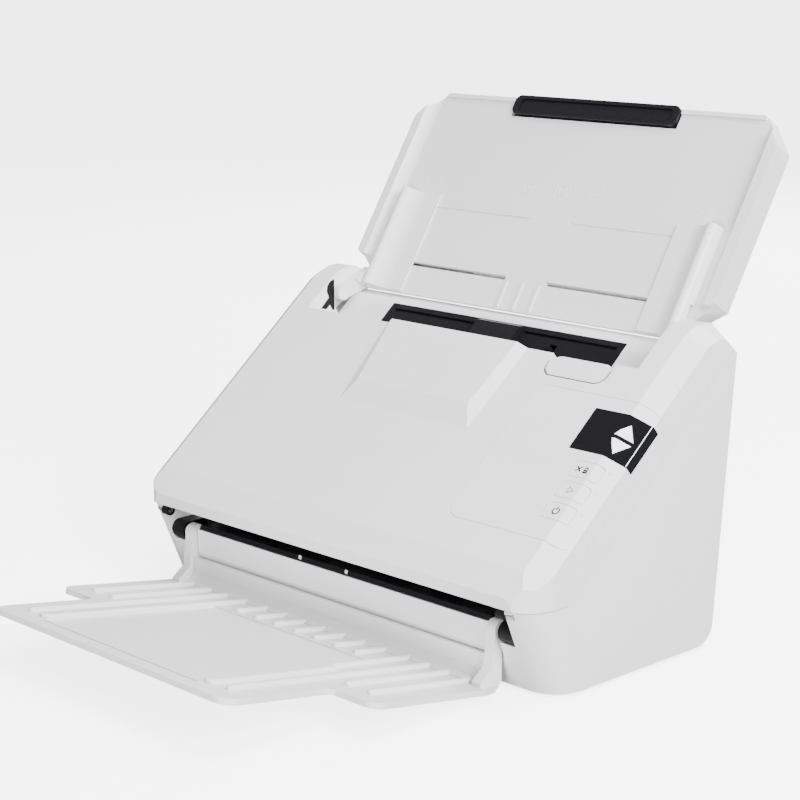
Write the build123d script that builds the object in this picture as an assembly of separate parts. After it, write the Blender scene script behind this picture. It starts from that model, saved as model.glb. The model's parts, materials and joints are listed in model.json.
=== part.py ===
from build123d import *
import os
from math import cos, hypot, pi, radians, sin, tan

# Desktop sheet fed document scanner, in millimetres.
# Each shape is laid out with y measured backwards from the bottom front edge of the body;
# save() then moves it so that the origin is the centre of the footprint at table height.

# ---- overall body ----
HALF_WIDTH = 150.0
WALL = 2.5
SEAM_GAP = 0.4
CORNER_R = 18.0
FOOT_H = 1.5

# ---- sloping front panel ----
SLOPE = 39.7
FOLD_Y, FOLD_Z = -11.6, 64.6
PANEL_LENGTH = 127.0
FLAT_HALF = 138.6
EDGE_DROP = 7.0
LIP_TOP = (-20.1, 52.0)
LIP_BOTTOM = (-19.0, 45.5)

# ---- rear of the body and the shoulders beside the input tray ----
BASE_DEPTH = 118.6
REAR_TOP = (134.0, 154.5)
REAR_FOOT_R = 12.0
SHOULDER_INNER = 125.0
SHOULDER_START = 148.0
CROWN_R = 30.0

# ---- paper path: a straight plane from the input tray down to the exit slot ----
PATH_SLOPE = 40.5
PATH_Y, PATH_Z = -8.0, 38.5
PATH_END = 173.0
THROAT_HALF = 88.6
GUIDE_T = 2.5

# ---- exit slot ----
SLOT_HALF = 132.5
SLOT_FLOOR = 32.4
APRON_HALF = 113.9
POCKET_FLOOR = 24.7
POCKET_BACK = 5.0

# ---- hinges ----
COVER_PIVOT = (-16.5, 42.5)
TRAY_PIVOT = (111.0, 152.0)
EXIT_PIVOT = (-7.0, 30.0)

# ---- input tray ----
TRAY_SLOPE = 57.6
TRAY_FOOT = (126.9, 153.0)
TRAY_LENGTH = 131.0
TRAY_HALF = 134.0
TRAY_NECK_HALF = 121.0
TRAY_NECK = 12.0
RIM_W = 6.5
RIM_H = 5.0
TRAY_T = 9.0
GUIDE_IN = 88.8
GUIDE_LENGTH = 64.5
LOWER_SLOT_S = 19.7
UPPER_SLOT_S = 56.8
SLOT_INNER_X = 15.0

# ---- output tray ----
OUT_RISE = 9.44
OUT_REAR = (-15.5, 3.0)
OUT_T = 3.0
OUT_LENGTH = 143.5
OUT_HALF = 94.0
WING_HALF = 124.0
WING_FRONT = 80.0
RIB_PITCH = 15.5
STOP_HALF = 62.0
STOP_DEPTH = 10.0

# ---- rollers: distance up the paper path, and radius ----
EXIT_U, EXIT_R = 14.0, 7.0
TRANSPORT_U, TRANSPORT_R = 76.0, 7.0
FEED_U, FEED_R = 122.0, 11.0
PINCH_R = 5.0
SEPARATION_R = 7.5
ROLLER_PROUD = 0.5
SHAFT_R = 3.0
FRAME_HALF = 115.0
GUIDE_HALF = 114.0
WINDOW_HALF = 124.5
COVERED_U = 137.5
BELT_SPAN = (-122.1, -117.8)
PULLEY_R = 7.5
MOTOR_PULLEY_R = 5.0
BELT_T = 1.2
MOTOR_Y, MOTOR_Z = 78.0, 30.0
MOTOR_R = 17.5
TYRE_X = (30.0, 70.0)
TYRE_HALF = 8.0

# ---- control panel, in panel coordinates ----
CONTROL_X = (71.5, 152.0)
CONTROL_T = (18.5, 107.0)
DISPLAY_X = (116.3, 152.0)
DISPLAY_T = (72.5, 99.0)
KEY_X = (126.5, 143.0)
KEY_T = {"cancel_button": 62.0, "scan_button": 49.0, "power_button": 36.0}
KEY_HALF = 4.7
ARROW_X = 141.5
ARROW_T = {"up_button": (89.5, 1), "down_button": (80.5, -1)}
ARROW_R = 5.0
LEVER_X = (69.0, 110.0)
LEVER_T = (113.5, 126.6)
FIT = 0.3

# ---- cover catch, in paper path coordinates ----
LATCH_U, LATCH_H = 130.5, 13.0

# ---- guide rack and pinion ----
MODULE = 1.5
PINION_TEETH = 16
PINION_S = 38.25
RACK_Z = -5.9
LINK_T = 0.7


def frame_at(y, z, angle):
    """Plane through (0, y, z) whose local y runs up the slope and local z out of it."""
    a = radians(angle)
    return Plane(origin=(0, y, z), x_dir=(1, 0, 0), z_dir=(0, -sin(a), cos(a)))


PANEL = frame_at(FOLD_Y, FOLD_Z, SLOPE)
PATH = frame_at(PATH_Y, PATH_Z, PATH_SLOPE)
TRAY = frame_at(TRAY_FOOT[0], TRAY_FOOT[1], TRAY_SLOPE)
OUT = Plane(
    origin=(0, OUT_REAR[0], OUT_REAR[1]),
    x_dir=(-1, 0, 0),
    z_dir=(0, sin(radians(OUT_RISE)), cos(radians(OUT_RISE))),
)


def yz(plane, along, height=0.0):
    """Side view position (y, z) of a point given along and above a sloping plane."""
    p = plane.from_local_coords(Vector(0, along, height))
    return (p.Y, p.Z)


def slab(plane, xs, ys, zs):
    """Box between two values along each local axis of a plane."""
    size = [b - a for a, b in (xs, ys, zs)]
    mid = [(a + b) / 2 for a, b in (xs, ys, zs)]
    return plane * Pos(*mid) * Box(*size)


def prism_x(points, x0, x1):
    """Solid with the given side view, from x0 to x1."""
    face = Plane.YZ * make_face(Polyline(*points, close=True))
    return Pos(x0, 0, 0) * extrude(face, x1 - x0)


def rod_x(center, radius, x0, x1):
    """Round rod along X through a side view point."""
    return Pos((x0 + x1) / 2, center[0], center[1]) * Rot(0, 90, 0) * Cylinder(radius, x1 - x0)


def rounded_column(plane, xs, ys, zs, radius):
    """Column standing on a plane, with its four upright edges rounded."""
    body = slab(plane, xs, ys, zs)
    upright = body.edges().filter_by(lambda e: abs(abs(e.tangent_at(0).dot(plane.z_dir)) - 1) < 1e-6)
    return fillet(upright, radius)


def mirrored(shape):
    """The shape and its mirror image in the middle plane of the scanner."""
    return [shape, mirror(shape, about=Plane.YZ)]


# ================================ outer form ================================


def shoulder_points(drop):
    """Where the slope ends, and the highest point of the shoulder."""
    start = yz(PANEL, SHOULDER_START, -drop)
    a = radians(SLOPE)
    top = (start[0] + CROWN_R * sin(a), start[1] + CROWN_R * (1 - cos(a)))
    return start, top


def side_face(drop):
    """Side view of the whole body, with its upper edge lowered by drop."""
    a = radians(SLOPE)
    front = (LIP_TOP[0] - FOLD_Y, LIP_TOP[1] - FOLD_Z)
    depth = drop / (front[1] * cos(a) - front[0] * sin(a))
    fold = (FOLD_Y - depth * front[0], FOLD_Z - depth * front[1])
    start, top = shoulder_points(drop)
    rear = (REAR_TOP[0] - drop * 0.1, REAR_TOP[1] - drop)
    slope = Line(fold, start)
    crown = TangentArc(start, top, tangent=(cos(a), sin(a)))
    back = TangentArc(top, rear, tangent=(1, 0))
    rest = Polyline(rear, (BASE_DEPTH, 0), (0, 0), LIP_BOTTOM, LIP_TOP, fold)
    face = make_face(Curve() + [slope, crown, back, rest])
    foot = face.vertices().sort_by_distance((BASE_DEPTH, 0, 0))[0]
    return fillet(foot, REAR_FOOT_R)


def bevel_limit(angle, point):
    """Bar along a tangent of the side view, with both of its upper edges bevelled."""
    section = [
        (-HALF_WIDTH, -260),
        (HALF_WIDTH, -260),
        (HALF_WIDTH, -EDGE_DROP),
        (FLAT_HALF, 0),
        (-FLAT_HALF, 0),
        (-HALF_WIDTH, -EDGE_DROP),
    ]
    plane = frame_at(point[0], point[1], angle)
    across = Plane(origin=plane.origin, x_dir=(1, 0, 0), z_dir=-plane.y_dir)
    return extrude(across * make_face(Polyline(*section, close=True)), 400, both=True)


def outer_form():
    """Whole closed body: bevelled top edges, and rounded front corners."""
    block = extrude(Plane.YZ * side_face(0), HALF_WIDTH, both=True)
    _, top = shoulder_points(0)
    back_r = ((REAR_TOP[0] - top[0]) ** 2 + (top[1] - REAR_TOP[1]) ** 2) / (2 * (top[1] - REAR_TOP[1]))
    for angle in (SLOPE, SLOPE / 2, 0, -SLOPE):
        a = radians(angle)
        r = CROWN_R if angle >= 0 else back_r
        block &= bevel_limit(angle, (top[0] - r * sin(a), top[1] - r * (1 - cos(a))))
    depth = 200.0
    plan = RectangleRounded(2 * HALF_WIDTH, depth, CORNER_R)
    upper = extrude(Pos(0, LIP_TOP[0] + depth / 2, LIP_BOTTOM[1]) * plan, 200)
    at_slot = Pos(0, LIP_BOTTOM[0] + depth / 2, LIP_BOTTOM[1]) * plan
    lower = Solid.extrude(at_slot.face(), Vector(0, -LIP_BOTTOM[0], -LIP_BOTTOM[1]))
    return (block & upper) + (block & lower)


def under_seam(lift=0.0):
    """Everything below the parting line between base and cover."""
    line = [(8, 45), (40, 70.5), (106, 131.5), REAR_TOP]
    points = [(-40, 45 + lift)] + [(y, z + lift) for y, z in line]
    points += [(200, REAR_TOP[1] + 40 + lift), (200, -5), (-40, -5)]
    return prism_x(points, -160, 160)


def under_path(height, half):
    """Everything below the paper path plane, between the two shoulders."""
    top = yz(PATH, PATH_END, height)
    points = [yz(PATH, -60, height), top, (200, top[1]), (200, -40), (-80, -40)]
    return prism_x(points, -half, half)


def hollow(depth, half):
    """Room under the sloping top, at a depth below the panel."""
    front = [yz(PANEL, 0.6 * depth, -depth), (LIP_TOP[0] + depth, LIP_TOP[1] - 0.4 * depth)]
    front += [(LIP_BOTTOM[0] + depth, 20)]
    crown = [yz(PANEL, SHOULDER_START - 1, -depth), (121.5, 165.3 - depth), (130, 161 - depth), (131, 20)]
    return prism_x(front[::-1] + crown, -half, half)


def rounded_room(front):
    """Upright space inside the side walls, with rounded front corners."""
    plan = Pos(0, front + 100) * RectangleRounded(2 * (HALF_WIDTH - WALL), 200, CORNER_R - WALL)
    return extrude(Pos(0, 0, -20) * plan, 220)


def shoulder_zone(x0, margin=0.0):
    """Both shoulder regions, outside x0 and over the full height."""
    one = Pos((x0 + 170) / 2, 50, 90) * Box(170 - x0, 300 + margin, 240)
    return mirrored(one)


# ================================ base ================================


def base_block(form):
    """Solid outline of the base: below the seam outside, below the paper path inside."""
    inner = SHOULDER_INNER - SEAM_GAP
    sides = (form & under_seam()) & (Part() + shoulder_zone(inner))
    return sides + (form & under_path(0.0, inner + 0.1))


def base_cavity():
    """Room inside the base, open underneath and at the back."""
    middle = [(14, 12), (7, 29), yz(PATH, 10, -17), yz(PATH, 26, -GUIDE_T)]
    middle += [yz(PATH, PATH_END - 4, -GUIDE_T), (140, 147.5), (140, -5), (3.2, -5), (3.2, 3.2)]
    side = [(8, 20), (20, 47), (40, 66), (104, 125.5), (140, 155), (140, -5), (3.2, -5), (3.2, 3.2)]
    outer = prism_x(side, WALL - HALF_WIDTH, HALF_WIDTH - WALL)
    outer -= slab(Plane.XY, (-SHOULDER_INNER, SHOULDER_INNER), (-60, 160), (-60, 160))
    outer &= rounded_room(3.2)
    return prism_x(middle, -SHOULDER_INNER, SHOULDER_INNER) + outer


def exit_recess():
    """The exit slot and the two pockets where the output tray's arms hang."""
    slot = slab(Plane.XY, (-SLOT_HALF, SLOT_HALF), (-40, 4), (SLOT_FLOOR, 60))
    pocket = slab(Plane.XY, (APRON_HALF, SLOT_HALF), (-40, POCKET_BACK), (POCKET_FLOOR, 60))
    arm_gap = slab(Plane.XY, (APRON_HALF, 122), (-40, -5.5), (-5, 60))
    return Part() + slot + mirrored(pocket) + mirrored(arm_gap)


def apron_step():
    """Wedge in front of the upright wall under the slot."""
    return prism_x([(-40, 17), (-8, 17), (-8, 60), (-40, 60)], -APRON_HALF, APRON_HALF)


def swing_relief():
    """Rounds the front top edge of the base so the cover's lip can roll past it."""
    y, z = COVER_PIVOT
    keep = Pos(y, z) * Circle(2.7)
    keep += Pos(y + 15, z - 12) * Rectangle(30, 29.4)
    keep += Pos(y, z - 20) * Rectangle(60, 40)
    area = Pos(y - 5, z + 5) * Rectangle(16, 10.1) - keep
    return extrude(Plane.YZ * area, 160, both=True)


def base_housing(form):
    body = base_block(form) - base_cavity() - exit_recess() - apron_step()
    body -= slab(PATH, (-WINDOW_HALF, WINDOW_HALF), (4, COVERED_U), (-17, 30))
    body -= slab(PATH, (-THROAT_HALF, THROAT_HALF), (COVERED_U - 1, 169.5), (-12, 5))
    body -= swing_relief()
    for x in (-1, 1):
        body -= rod_x(COVER_PIVOT, 1.62, x * 134 - 3.5, x * 134 + 3.5)
    return body


def rear_cover(form):
    """Back panel with cooling slots and windows for the sockets."""
    half = HALF_WIDTH - WALL - FIT
    inner = [(106.6, -1), (106.6, 2.5), (112.5, 3.8), (115.0, 7.5), (128.9, 126.4), (130.8, 146)]
    panel = form & prism_x(inner + [(150, 146), (150, -1)], -half, half)
    for i in range(9):
        panel -= slab(Plane.XY, (-60 + i * 12, -55 + i * 12), (110, 150), (96, 128))
    panel -= slab(Plane.XY, (88, 98), (100, 150), (15, 26))
    return panel - slab(Plane.XY, (58, 71), (100, 150), (15, 26.5))


def bottom_plate():
    plate = slab(Plane.XY, (-146, 146), (5.5, 106.2), (0.6, 3.0))
    plate &= rounded_room(3.6)
    for x, y in foot_places():
        plate -= Pos(x, y, 0.6) * Cylinder(8.2, 1.2)
    for x, y in screw_places():
        plate -= Pos(x, y, 0.6) * Cylinder(3.2, 2.4)
    return plate


def foot_places():
    return [(x, y) for x in (-125, 125) for y in (18, 94)]


def screw_places():
    return [(x, y) for x in (-135, 0, 135) for y in (40, 99)]


def rubber_feet():
    return [Pos(x, y, (1.2 - FOOT_H) / 2) * Cylinder(8, 1.2 + FOOT_H) for x, y in foot_places()]


def case_screws():
    head = Cylinder(2.9, 1.0) - Pos(0, 0, -0.5) * Box(4, 0.7, 0.8) - Pos(0, 0, -0.5) * Box(0.7, 4, 0.8)
    return [Pos(x, y, 1.25) * head for x, y in screw_places()]


def tyre_spans():
    return [(x - TYRE_HALF, x + TYRE_HALF) for c in TYRE_X for x in (-c, c)]


def roller_windows(height):
    """Openings in a paper guide where the roller tyres come through."""
    cuts = []
    for u in (EXIT_U, TRANSPORT_U):
        for a, b in tyre_spans():
            cuts.append(slab(PATH, (a - 1, b + 1), (u - 8, u + 8), (height - 6, height + 6)))
    cuts.append(slab(PATH, (-15, 15), (FEED_U - 12, FEED_U + 12), (height - 6, height + 6)))
    return cuts


def hook_windows(height):
    return mirrored(slab(PATH, (106, 112), (123, 135.5), (height - 6, height + 6)))


def lower_paper_guide():
    """Black guide under the sheet, narrower where it shows in the feed throat."""
    guide = slab(PATH, (-GUIDE_HALF, GUIDE_HALF), (9.5, COVERED_U - FIT), (-GUIDE_T, 0))
    guide += slab(PATH, (FIT - THROAT_HALF, THROAT_HALF - FIT), (COVERED_U - FIT, 169.2), (-GUIDE_T, 0))
    guide -= roller_windows(0) + hook_windows(0)
    guide -= slab(PATH, (-110, 110), (30, 46), (-6, 6))
    for u in (146, 164):
        guide -= slab(PATH, (-84, -18), (u, u + 2), (-1.2, 1))
        guide -= slab(PATH, (18, 84), (u, u + 2), (-1.2, 1))
    guide -= slab(PATH, (40, 46), (151, 160), (-6, 6))
    return guide


def exit_apron():
    """Black sill behind the slot, up to the exit rollers."""
    sill = prism_x([(-7.5, 32.7), (3.7, 32.7), (2.6, 35.6), (-6.5, 35.2)], 1 - APRON_HALF, APRON_HALF - 1)
    return sill


def feed_hood():
    """Raised bridge in the middle of the feed throat, over the pick roller's drive."""
    top = [yz(PATH, 140, 0.1), yz(PATH, 143, 3.5), yz(PATH, 166, 3.5), yz(PATH, 169, 0.1)]
    return prism_x(top, -16, 16)


def side_frames():
    points = [yz(PATH, 4, -2.8), yz(PATH, 136, -2.8), yz(PATH, 136, -26), (60, 8), (24, 8), (14, 34)]
    plate = prism_x(points, FRAME_HALF, FRAME_HALF + 2)
    for u, h in shaft_places():
        plate -= rod_x(yz(PATH, u, h), 5.52, FRAME_HALF - 5, FRAME_HALF + 5)
    left = mirror(plate, about=Plane.YZ) - rod_x((MOTOR_Y, MOTOR_Z), 6.5, -FRAME_HALF - 5, 5 - FRAME_HALF)
    return [left, plate]


def shaft_places():
    rollers = ((EXIT_U, EXIT_R), (TRANSPORT_U, TRANSPORT_R), (FEED_U, FEED_R))
    return [(u, ROLLER_PROUD - radius) for u, radius in rollers]


def shaft_bushes():
    bushes = []
    for u, h in shaft_places():
        center = yz(PATH, u, h)
        ring = rod_x(center, 5.5, FRAME_HALF - 0.6, FRAME_HALF + 2.6)
        ring -= rod_x(center, SHAFT_R + 0.05, FRAME_HALF - 2, FRAME_HALF + 4)
        bushes += mirrored(ring)
    return bushes


def driven_shaft(u, h):
    """Roller shaft with its belt pulley at the left end."""
    center = yz(PATH, u, h)
    return rod_x(center, SHAFT_R, BELT_SPAN[0], FRAME_HALF + 2.6) + pulley(center, PULLEY_R)


def tyres(u, h, radius, spans):
    center = yz(PATH, u, h)
    return [rod_x(center, radius, a, b) - rod_x(center, SHAFT_R, a - 1, b + 1) for a, b in spans]


def pulley(center, radius):
    return rod_x(center, radius, BELT_SPAN[0] + 0.4, BELT_SPAN[1] - 0.4)


def pulley_circles():
    rows = [(yz(PATH, u, h), PULLEY_R) for u, h in shaft_places()]
    return rows + [((MOTOR_Y, MOTOR_Z), MOTOR_PULLEY_R)]


def belt_loop(grow):
    """Area inside a tight loop round all four pulleys."""
    circles = Sketch() + [Pos(c[0], c[1]) * Circle(r + grow) for c, r in pulley_circles()]
    return make_hull(circles.edges())


def drive_belt():
    loop = belt_loop(FIT + BELT_T) - belt_loop(FIT)
    return Pos(BELT_SPAN[0] + 1, 0, 0) * extrude(Plane.YZ * loop, BELT_SPAN[1] - BELT_SPAN[0] - 2)


def motor_pulley():
    return pulley((MOTOR_Y, MOTOR_Z), MOTOR_PULLEY_R)


def drive_motor():
    can = rod_x((MOTOR_Y, MOTOR_Z), MOTOR_R, -109, -76)
    can += rod_x((MOTOR_Y, MOTOR_Z), 6, -110.5, -109)
    return can - rod_x((MOTOR_Y, MOTOR_Z), 2.6, -112, -90)


def motor_bracket():
    plate = slab(Plane.XY, (-112.6, -110.8), (MOTOR_Y - 20, MOTOR_Y + 20), (3.2, MOTOR_Z + 19))
    plate += slab(Plane.XY, (-112.6, -92), (MOTOR_Y - 20, MOTOR_Y + 20), (3.2, 5.0))
    return plate - rod_x((MOTOR_Y, MOTOR_Z), 6.5, -114, -108)


def image_sensor(u0, h0, h1):
    return slab(PATH, (-111, 111), (u0, u0 + 18), (h0, h1))


def main_board():
    board = slab(Plane.XY, (-40, 104), (100, 101.6), (12, 92))
    for x, z, w in ((0, 60, 14), (40, 50, 10), (70, 70, 8), (-20, 30, 8)):
        board += slab(Plane.XY, (x, x + w), (98.6, 100), (z, z + w))
    return board


def power_inlet():
    case = slab(Plane.XY, (88.4, 97.6), (101.6, 119.4), (15.4, 25.6))
    case -= Pos(93, 113, 20.5) * Rot(90, 0, 0) * Cylinder(3.2, 14)
    return case + Pos(93, 109, 20.5) * Rot(90, 0, 0) * Cylinder(0.9, 8)


def usb_socket():
    case = slab(Plane.XY, (58.4, 70.6), (101.6, 119.4), (15.4, 26.1))
    case -= slab(Plane.XY, (59.4, 69.6), (104, 121), (16.4, 25.1))
    return case + slab(Plane.XY, (62, 67), (103, 112), (18.8, 22.4))


def tray_brackets():
    """Upright lugs inside the shoulders that carry the input tray's pins."""
    y, z = TRAY_PIVOT
    side = prism_x([(y - 9, 136), (y + 8, 146.5), (y + 5.5, z), (y - 5.5, z)], 129, 133)
    side += rod_x(TRAY_PIVOT, 5.5, 129, 133)
    side -= under_seam(0.02)
    side -= rod_x(TRAY_PIVOT, 2.55, 120, 140)
    return mirrored(side)


def tray_hinge_blocks():
    """Black round bosses in the pockets, each with a foot behind it."""
    y, z = EXIT_PIVOT
    xs = (122.4, SLOT_HALF - 0.1)
    block = rod_x(EXIT_PIVOT, 5.2, *xs)
    block += slab(Plane.XY, xs, (y, POCKET_BACK - 0.1), (POCKET_FLOOR + 0.1, z + 5.2))
    liner = slab(Plane.XY, (APRON_HALF + 0.4, 122.4), (3.8, POCKET_BACK - 0.1), (POCKET_FLOOR + 0.1, 33))
    return mirrored(block + liner - rod_x(EXIT_PIVOT, 2.55, 110, 140))


def cover_hinge_pins():
    return mirrored(rod_x(COVER_PIVOT, 1.6, 127.4, 137.2))


def latch_strikers():
    return mirrored(slab(PATH, (105, 115), (LATCH_U - 7, LATCH_U - 3), (-4.8, -2.6)))


def paper_flag():
    """Sprung finger in the feed throat that a sheet pushes down."""
    blade = [yz(PATH, 154, -7.5), yz(PATH, 158, -7.5), yz(PATH, 157, 3.5), yz(PATH, 155, 3.5)]
    arm = prism_x(blade, 41.5, 44.5)
    return arm + rod_x(yz(PATH, 156, -7.5), 2.5, 39, 47)


def flag_carrier():
    """Clip under the throat that holds the paper flag."""
    clip = slab(PATH, (34, 38.4), (150, 162), (-12, -2.7))
    clip += slab(PATH, (47.6, 52), (150, 162), (-12, -2.7))
    clip += slab(PATH, (34, 52), (150, 162), (-14, -12))
    return clip


# ================================ front cover ================================


def cover_block(form):
    """Solid outline of the opening cover, with the two shoulders at its rear corners."""
    sides = (form - under_seam(SEAM_GAP)) & (Part() + shoulder_zone(SHOULDER_INNER))
    middle = form - under_path(1.2, 170)
    middle -= slab(Plane.XY, (-170, 170), (-60, 9), (-10, LIP_BOTTOM[1]))
    middle &= slab(PANEL, (-SHOULDER_INNER, SHOULDER_INNER), (-80, PANEL_LENGTH), (-80, 40))
    return sides + middle


def plateau():
    """Low raised table in front of the feed throat, fading out down the slope."""
    foot = make_face(Polyline((-57, 127), (50.5, 127), (48.5, 69), (-51, 69), close=True))
    top = make_face(Polyline((-51, 127), (44.5, 127), (41.5, 83), (-43, 83), close=True))
    return loft([PANEL * Pos(0, 0, -0.4) * foot, PANEL * Pos(0, 0, 4) * top], ruled=True)


def cover_cavity():
    """Room inside the cover, open underneath."""
    room = hollow(WALL, FLAT_HALF - 1) + hollow(EDGE_DROP + WALL, HALF_WIDTH - WALL)
    room &= rounded_room(LIP_TOP[0] + WALL)
    front = slab(PANEL, (-160, 160), (-90, PANEL_LENGTH - WALL), (-90, 40))
    return room & (front + mirrored(slab(PANEL, (SHOULDER_INNER + WALL, 160), (60, 260), (-120, 60))))


def control_column(grow=0.0):
    xs = (CONTROL_X[0] - grow, CONTROL_X[1])
    ts = (CONTROL_T[0] - grow, CONTROL_T[1] + grow)
    return rounded_column(PANEL, xs, ts, (-16 - grow, 6), 8 + grow)


def display_column(grow=0.0):
    xs = (DISPLAY_X[0] - grow, DISPLAY_X[1])
    ts = (DISPLAY_T[0] - grow, DISPLAY_T[1] + grow)
    return slab(PANEL, xs, ts, (-12 - grow, 6))


def key_column(name, grow=0.0):
    t = KEY_T[name]
    xs = (KEY_X[0] - grow, KEY_X[1] + grow)
    ts = (t - KEY_HALF - grow, t + KEY_HALF + grow)
    return rounded_column(PANEL, xs, ts, (-12, 6), 1.5 + grow)


def arrow_column(name, grow=0.0):
    t, way = ARROW_T[name]
    corners = [(0, 1), (-0.95, -0.75), (0.95, -0.75)]
    r = ARROW_R + 1.6 * grow
    points = [(ARROW_X + r * a, t + way * r * b * 0.9) for a, b in corners]
    face = PANEL * Pos(0, 0, -12) * make_face(Polyline(*points, close=True))
    return extrude(face, amount=18, dir=PANEL.z_dir)


def lever_column(grow=0.0):
    xs = (LEVER_X[0] - grow, LEVER_X[1] + grow)
    return rounded_column(PANEL, xs, (LEVER_T[0] - grow, PANEL_LENGTH + 12), (-9, 6), 6 + grow)


def light_columns(grow=0.0):
    place = [(145.5, t + 3.6) for t in KEY_T.values()]
    return [PANEL * Pos(x, t, -4) * Cylinder(0.9 + grow, 14) for x, t in place]


def keyhole():
    """Opening in a shoulder's inner wall that lets the tray's pin out as the cover lifts."""
    y, z = TRAY_PIVOT
    slot = [(-2.2, 2.4), (2.6, 2.0), (28, -20), (12, -32), (-4.2, -8), (-3.0, -2)]
    xs = (SHOULDER_INNER - 1, SHOULDER_INNER + WALL + 1)
    cut = prism_x([(y + a, z + b) for a, b in slot], *xs)
    return mirrored(cut + rod_x(TRAY_PIVOT, 3.4, *xs))


def cover_hinge_lugs():
    """Black eyes under the cover's front corners that turn on the hinge pins."""
    y, z = COVER_PIVOT
    lug = slab(Plane.XY, (127.4, 132.1), (y - 1.9, y + 3.1), (z, 52))
    lug &= slab(PANEL, (120, 140), (-60, 60), (-60, -WALL))
    lug += rod_x(COVER_PIVOT, 3.0, 127.4, 132.1)
    return mirrored(lug - rod_x(COVER_PIVOT, 1.65, 120, 140))


def cover_shell(form):
    """Cover wall of even thickness, before anything is cut into it."""
    return cover_block(form) + plateau() - cover_cavity()


def front_cover(shell):
    cover = shell - control_column(0) - lever_column(1.0) - keyhole()
    for x in (-1, 1):
        cover -= slab(Plane.XY, tuple(sorted((x * 127.2, x * 132.3))), (-18.6, -13.2), (45, 52.2))
    return cover


def control_panel(shell):
    panel = shell & control_column(-FIT)
    panel -= display_column(0)
    for name in KEY_T:
        panel -= key_column(name, FIT)
    return panel - light_columns(0.05)


def display_window(shell):
    window = shell & display_column(-0.15) & control_column(-FIT)
    for name in ARROW_T:
        window -= arrow_column(name, FIT)
    return window


def release_lever():
    """Plate beside the throat: pressing its front edge frees the cover."""
    left, right = LEVER_X
    back = LEVER_T[1]
    plate = rounded_column(PANEL, LEVER_X, LEVER_T, (-3.6, -1.1), 6)
    rib = slab(PANEL, (left + 6, right - 20), (back - 5, back - 2), (-7, -3.6))
    return plate + rib + lever_pivot_rod(1.5, left - 2.5, right + 2.5)


def lever_pivot_rod(radius, x0, x1):
    return rod_x(yz(PANEL, LEVER_T[1] - 4.4, -6.5), radius, x0, x1)


def upper_paper_guide():
    """Black guide above the sheet, with lugs for the pinch rollers."""
    guide = slab(PATH, (-GUIDE_HALF, GUIDE_HALF), (7, 136), (1.4, 3.4))
    guide -= roller_windows(2) + hook_windows(2)
    guide -= slab(PATH, (-110, 110), (50, 64), (-6, 6))
    for u in (EXIT_U, TRANSPORT_U):
        guide += mirrored(journal_lug(81, u, pinch_height(PINCH_R)))
    guide += mirrored(journal_lug(18, FEED_U, pinch_height(SEPARATION_R)))
    return guide + mirrored(journal_lug(94, LATCH_U, LATCH_H))


def journal_lug(x, u, h):
    """Upright lug on the upper guide with a bore for a thin shaft."""
    lug = slab(PATH, (x, x + 3), (u - 4, u + 4), (3.4, h + 3.0))
    return lug - rod_x(yz(PATH, u, h), 2.05, x - 5, x + 8)


def pinch_height(radius):
    return ROLLER_PROUD + FIT + radius


def pinch_roller(u):
    center = yz(PATH, u, pinch_height(PINCH_R))
    roller = rod_x(center, 2.0, -85, 85)
    for a, b in tyre_spans():
        roller += rod_x(center, PINCH_R, a, b)
    return roller


def separation_roller():
    center = yz(PATH, FEED_U, pinch_height(SEPARATION_R))
    return rod_x(center, SEPARATION_R, -12, 12) + rod_x(center, 2.0, -22, 22)


def panel_board():
    """Circuit board under the control panel, with its switches and display cell."""
    board = slab(PANEL, (78, 137), (24, 102), (-8.8, -7.4))
    for t in KEY_T.values():
        board += slab(PANEL, (132, 137), (t - 2.5, t + 2.5), (-7.4, -5.2))
    board += slab(PANEL, (118, 136), (74, 97), (-7.4, -3.0))
    return board + slab(PANEL, (92, 106), (60, 74), (-7.4, -6))


def key_button(shell, name):
    stem = PANEL * Pos(134.5, KEY_T[name], -3.2) * Cylinder(1.6, 2.6)
    return (shell & key_column(name)) + stem


def latch_bar():
    """Round bar across the cover with a catch tongue at each end."""
    bar = rod_x(yz(PATH, LATCH_U, LATCH_H), 2.0, -111.5, 111.5)
    outline = [(-1.5, 13), (2, 13), (2, -7.5), (-1.2, -7.5), (-2.7, -6), (-2.7, -3.4), (-1.2, -2)]
    points = [yz(PATH, LATCH_U + u, h) for u, h in outline]
    return bar + mirrored(prism_x(points, 107, 111))


# ================================ input tray ================================


def tray_outline(inset=0.0):
    """Face of the input tray: narrow foot between the shoulders, then full width."""
    half, neck = TRAY_HALF - inset, TRAY_NECK_HALF - inset
    top = TRAY_LENGTH - inset
    right = [(neck, 1 + inset), (neck, TRAY_NECK), (half, TRAY_NECK + 10), (half, 113), (118, top)]
    left = [(-x, s) for x, s in reversed(right)]
    face = make_face(Polyline(*right, *left, close=True))
    corners = face.vertices().filter_by(lambda v: abs(v.X) > 117 and v.Y > 100)
    return fillet(corners, 6)


def tray_layer(inset, h0, h1):
    return extrude(TRAY * Pos(0, 0, h0) * tray_outline(inset), amount=h1 - h0, dir=TRAY.z_dir)


def handle_zone(grow=0.0):
    return slab(TRAY, (-61 - grow, 61 + grow), (120 - grow, 140), (-20, 20))


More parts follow.
